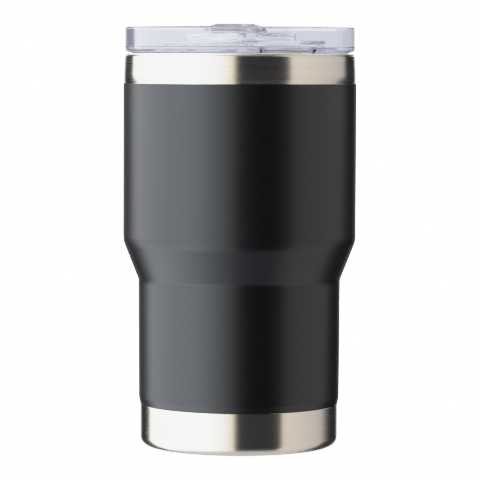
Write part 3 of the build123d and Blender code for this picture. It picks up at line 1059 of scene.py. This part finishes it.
def make_floor():
    """White to the camera, a plain pale floor to what it lights, and greyer through the lid."""
    deselect()
    bpy.ops.mesh.primitive_circle_add(
        vertices=FLOOR_SIDES, radius=FLOOR_RADIUS, fill_type="NGON", location=(0, 0, 0)
    )
    floor = bpy.context.object
    floor.name = "studio_floor"
    material, tree, shader = new_material("pale_floor")
    path = tree.add("LightPath", {})
    through = path.outputs["Is Transmission Ray"]
    glow = tree.spread(path.outputs["Is Camera Ray"], FLOOR_GLOW, FLOOR_SEEN, (0, 1))
    less = tree.calc("MULTIPLY", through, FLOOR_GLOW - FLOOR_GLOW_THROUGH_CLEAR)
    tree.feed(shader, {
        "Base Color": tree.mix(FLOOR_COLOUR, FLOOR_THROUGH_CLEAR, through),
        "Roughness": 1.0,
        "Specular IOR Level": 0.0,
        "Emission Color": (1, 1, 1, 1),
        "Emission Strength": tree.calc("SUBTRACT", glow, less),
    })
    floor.data.materials.append(material)
    floor.visible_glossy = False


def studio_angles(tree):
    """Azimuth from the main camera and level over the horizon, of the way a ray goes."""
    place = tree.add("TexCoord", {}).outputs["Generated"]
    turn = {"Vector": place, "Rotation": (0, 0, -radians(CAMERA_AZIMUTH))}
    turned_place = tree.add("Mapping", turn, vector_type="POINT").outputs["Vector"]
    split = tree.add("SeparateXYZ", {"Vector": turned_place})
    x, y, z = (split.outputs[axis] for axis in "XYZ")
    azimuth = tree.calc("ARCTAN2", x, tree.calc("MULTIPLY", y, -1))
    return azimuth, tree.calc("ARCSINE", z)


def box_light(tree, azimuth, level, near, far, lean, soft):
    """A tall soft box from its upright near edge to its far edge, which leans with height."""
    side = 1 if far > near else -1
    near_soft = side * NEAR_SOFTER * soft
    near_edge = tree.rise(azimuth, near - near_soft, near + near_soft)
    reach = radians(LEAN_REACH)
    height = tree.add("Clamp", {"Value": level, "Min": -reach, "Max": reach}).outputs["Result"]
    leaned = tree.calc("SUBTRACT", azimuth, tree.calc("MULTIPLY", height, side * lean))
    far_edge = tree.rise(leaned, far + side * soft, far - side * soft)
    across = tree.calc("MULTIPLY", near_edge, far_edge)
    return tree.calc("MULTIPLY", across, tree.band(level, *BOX_LEVELS, BOX_END_SOFT))


def room_look(tree, azimuth, level):
    """Soft boxes left and right, dark room between them, white card behind and below."""
    around = tree.calc("ABSOLUTE", azimuth)
    left = tree.band(azimuth, *DARK_LEFT_SPAN, DARK_LEFT_SOFT)
    left = tree.calc("MULTIPLY", left, tree.rise(level, *DARK_LEFT_RISE))
    look = tree.mix(DARK, DARK_LEFT, left)
    look = tree.mix(look, BACKDROP, tree.rise(around, *BACKDROP_EDGE))
    key = box_light(tree, azimuth, level, KEY_TO, KEY_FROM, KEY_LEAN, KEY_SOFT)
    key_look = tree.mix(KEY_NEAR, KEY_FULL, tree.rise(azimuth, KEY_TO, KEY_FULL_AT))
    key_look = tree.mix(key_look, KEY_FAR, tree.rise(azimuth, KEY_FULL_AT, KEY_FROM))
    look = tree.mix(look, key_look, key)
    fill = box_light(tree, azimuth, level, FILL_FROM, FILL_TO, FILL_LEAN, FILL_SOFT)
    fill_look = tree.mix(FILL_NEAR, FILL_FAR, tree.rise(azimuth, FILL_FROM, FILL_TO))
    look = tree.mix(look, fill_look, fill)
    dim = tree.calc("MULTIPLY", tree.rise(level, *DIM_STARTS), tree.rise(level, *DIM_ENDS))
    look = tree.mix(look, (0, 0, 0), tree.calc("MULTIPLY", dim, DIM))
    look = tree.mix(look, LOW_CARD, tree.rise(level, *LOW_CARD_EDGE))
    return tree.mix(look, CEILING, tree.rise(level, *CEILING_EDGE))


def look_through_clear(tree, azimuth, level):
    """What is seen through clear plastic: plain pale grey, with a darker flag at the left."""
    around = tree.calc("ABSOLUTE", azimuth)
    look = tree.mix(CLEAR_FRONT, CLEAR_BACK, tree.rise(around, *CLEAR_BACK_EDGE))
    look = tree.mix(look, CLEAR_FLAG, tree.band(azimuth, *CLEAR_FLAG_SPAN, CLEAR_FLAG_SOFT))
    look = tree.mix(look, CLEAR_HIGH, tree.rise(level, *CLEAR_HIGH_EDGE))
    return tree.mix(look, CLEAR_LOW, tree.rise(level, *CLEAR_LOW_EDGE))


def make_world():
    world = bpy.data.worlds.new("studio")
    bpy.context.scene.world = world
    tree = NodeTree(world)
    tree.nodes.clear()
    azimuth, level = studio_angles(tree)
    path = tree.add("LightPath", {})
    clear = look_through_clear(tree, azimuth, level)
    look = tree.mix(room_look(tree, azimuth, level), clear, path.outputs["Is Transmission Ray"])
    look = tree.mix(look, SEEN_BACKDROP, path.outputs["Is Camera Ray"])
    background = tree.add("Background", {"Color": look}).outputs["Background"]
    tree.add("OutputWorld", {"Surface": background})


def make_light_paths():
    """Light crosses the lid's clear walls many times, so paths may be long."""
    cycles = bpy.context.scene.cycles
    cycles.max_bounces = LONG_PATH
    cycles.transmission_bounces = LONG_PATH
    cycles.glossy_bounces = GLOSSY_PATH


def make_tone():
    """Plain display tone with a soft shoulder, as a studio print has."""
    view = bpy.context.scene.view_settings
    view.view_transform = "Standard"
    view.look = "None"
    view.use_curve_mapping = True
    tone = view.curve_mapping
    tone.white_level = (TONE_WHITE, TONE_WHITE, TONE_WHITE)
    tone.extend = "HORIZONTAL"
    curve = tone.curves[3]
    for light, shown in TONE_POINTS:
        curve.points.new(light / TONE_WHITE, shown)
    for point in curve.points:
        point.handle_type = "VECTOR"
    tone.update()


make_cup()
make_lid()
make_camera()
make_floor()
make_world()
make_light_paths()
make_tone()
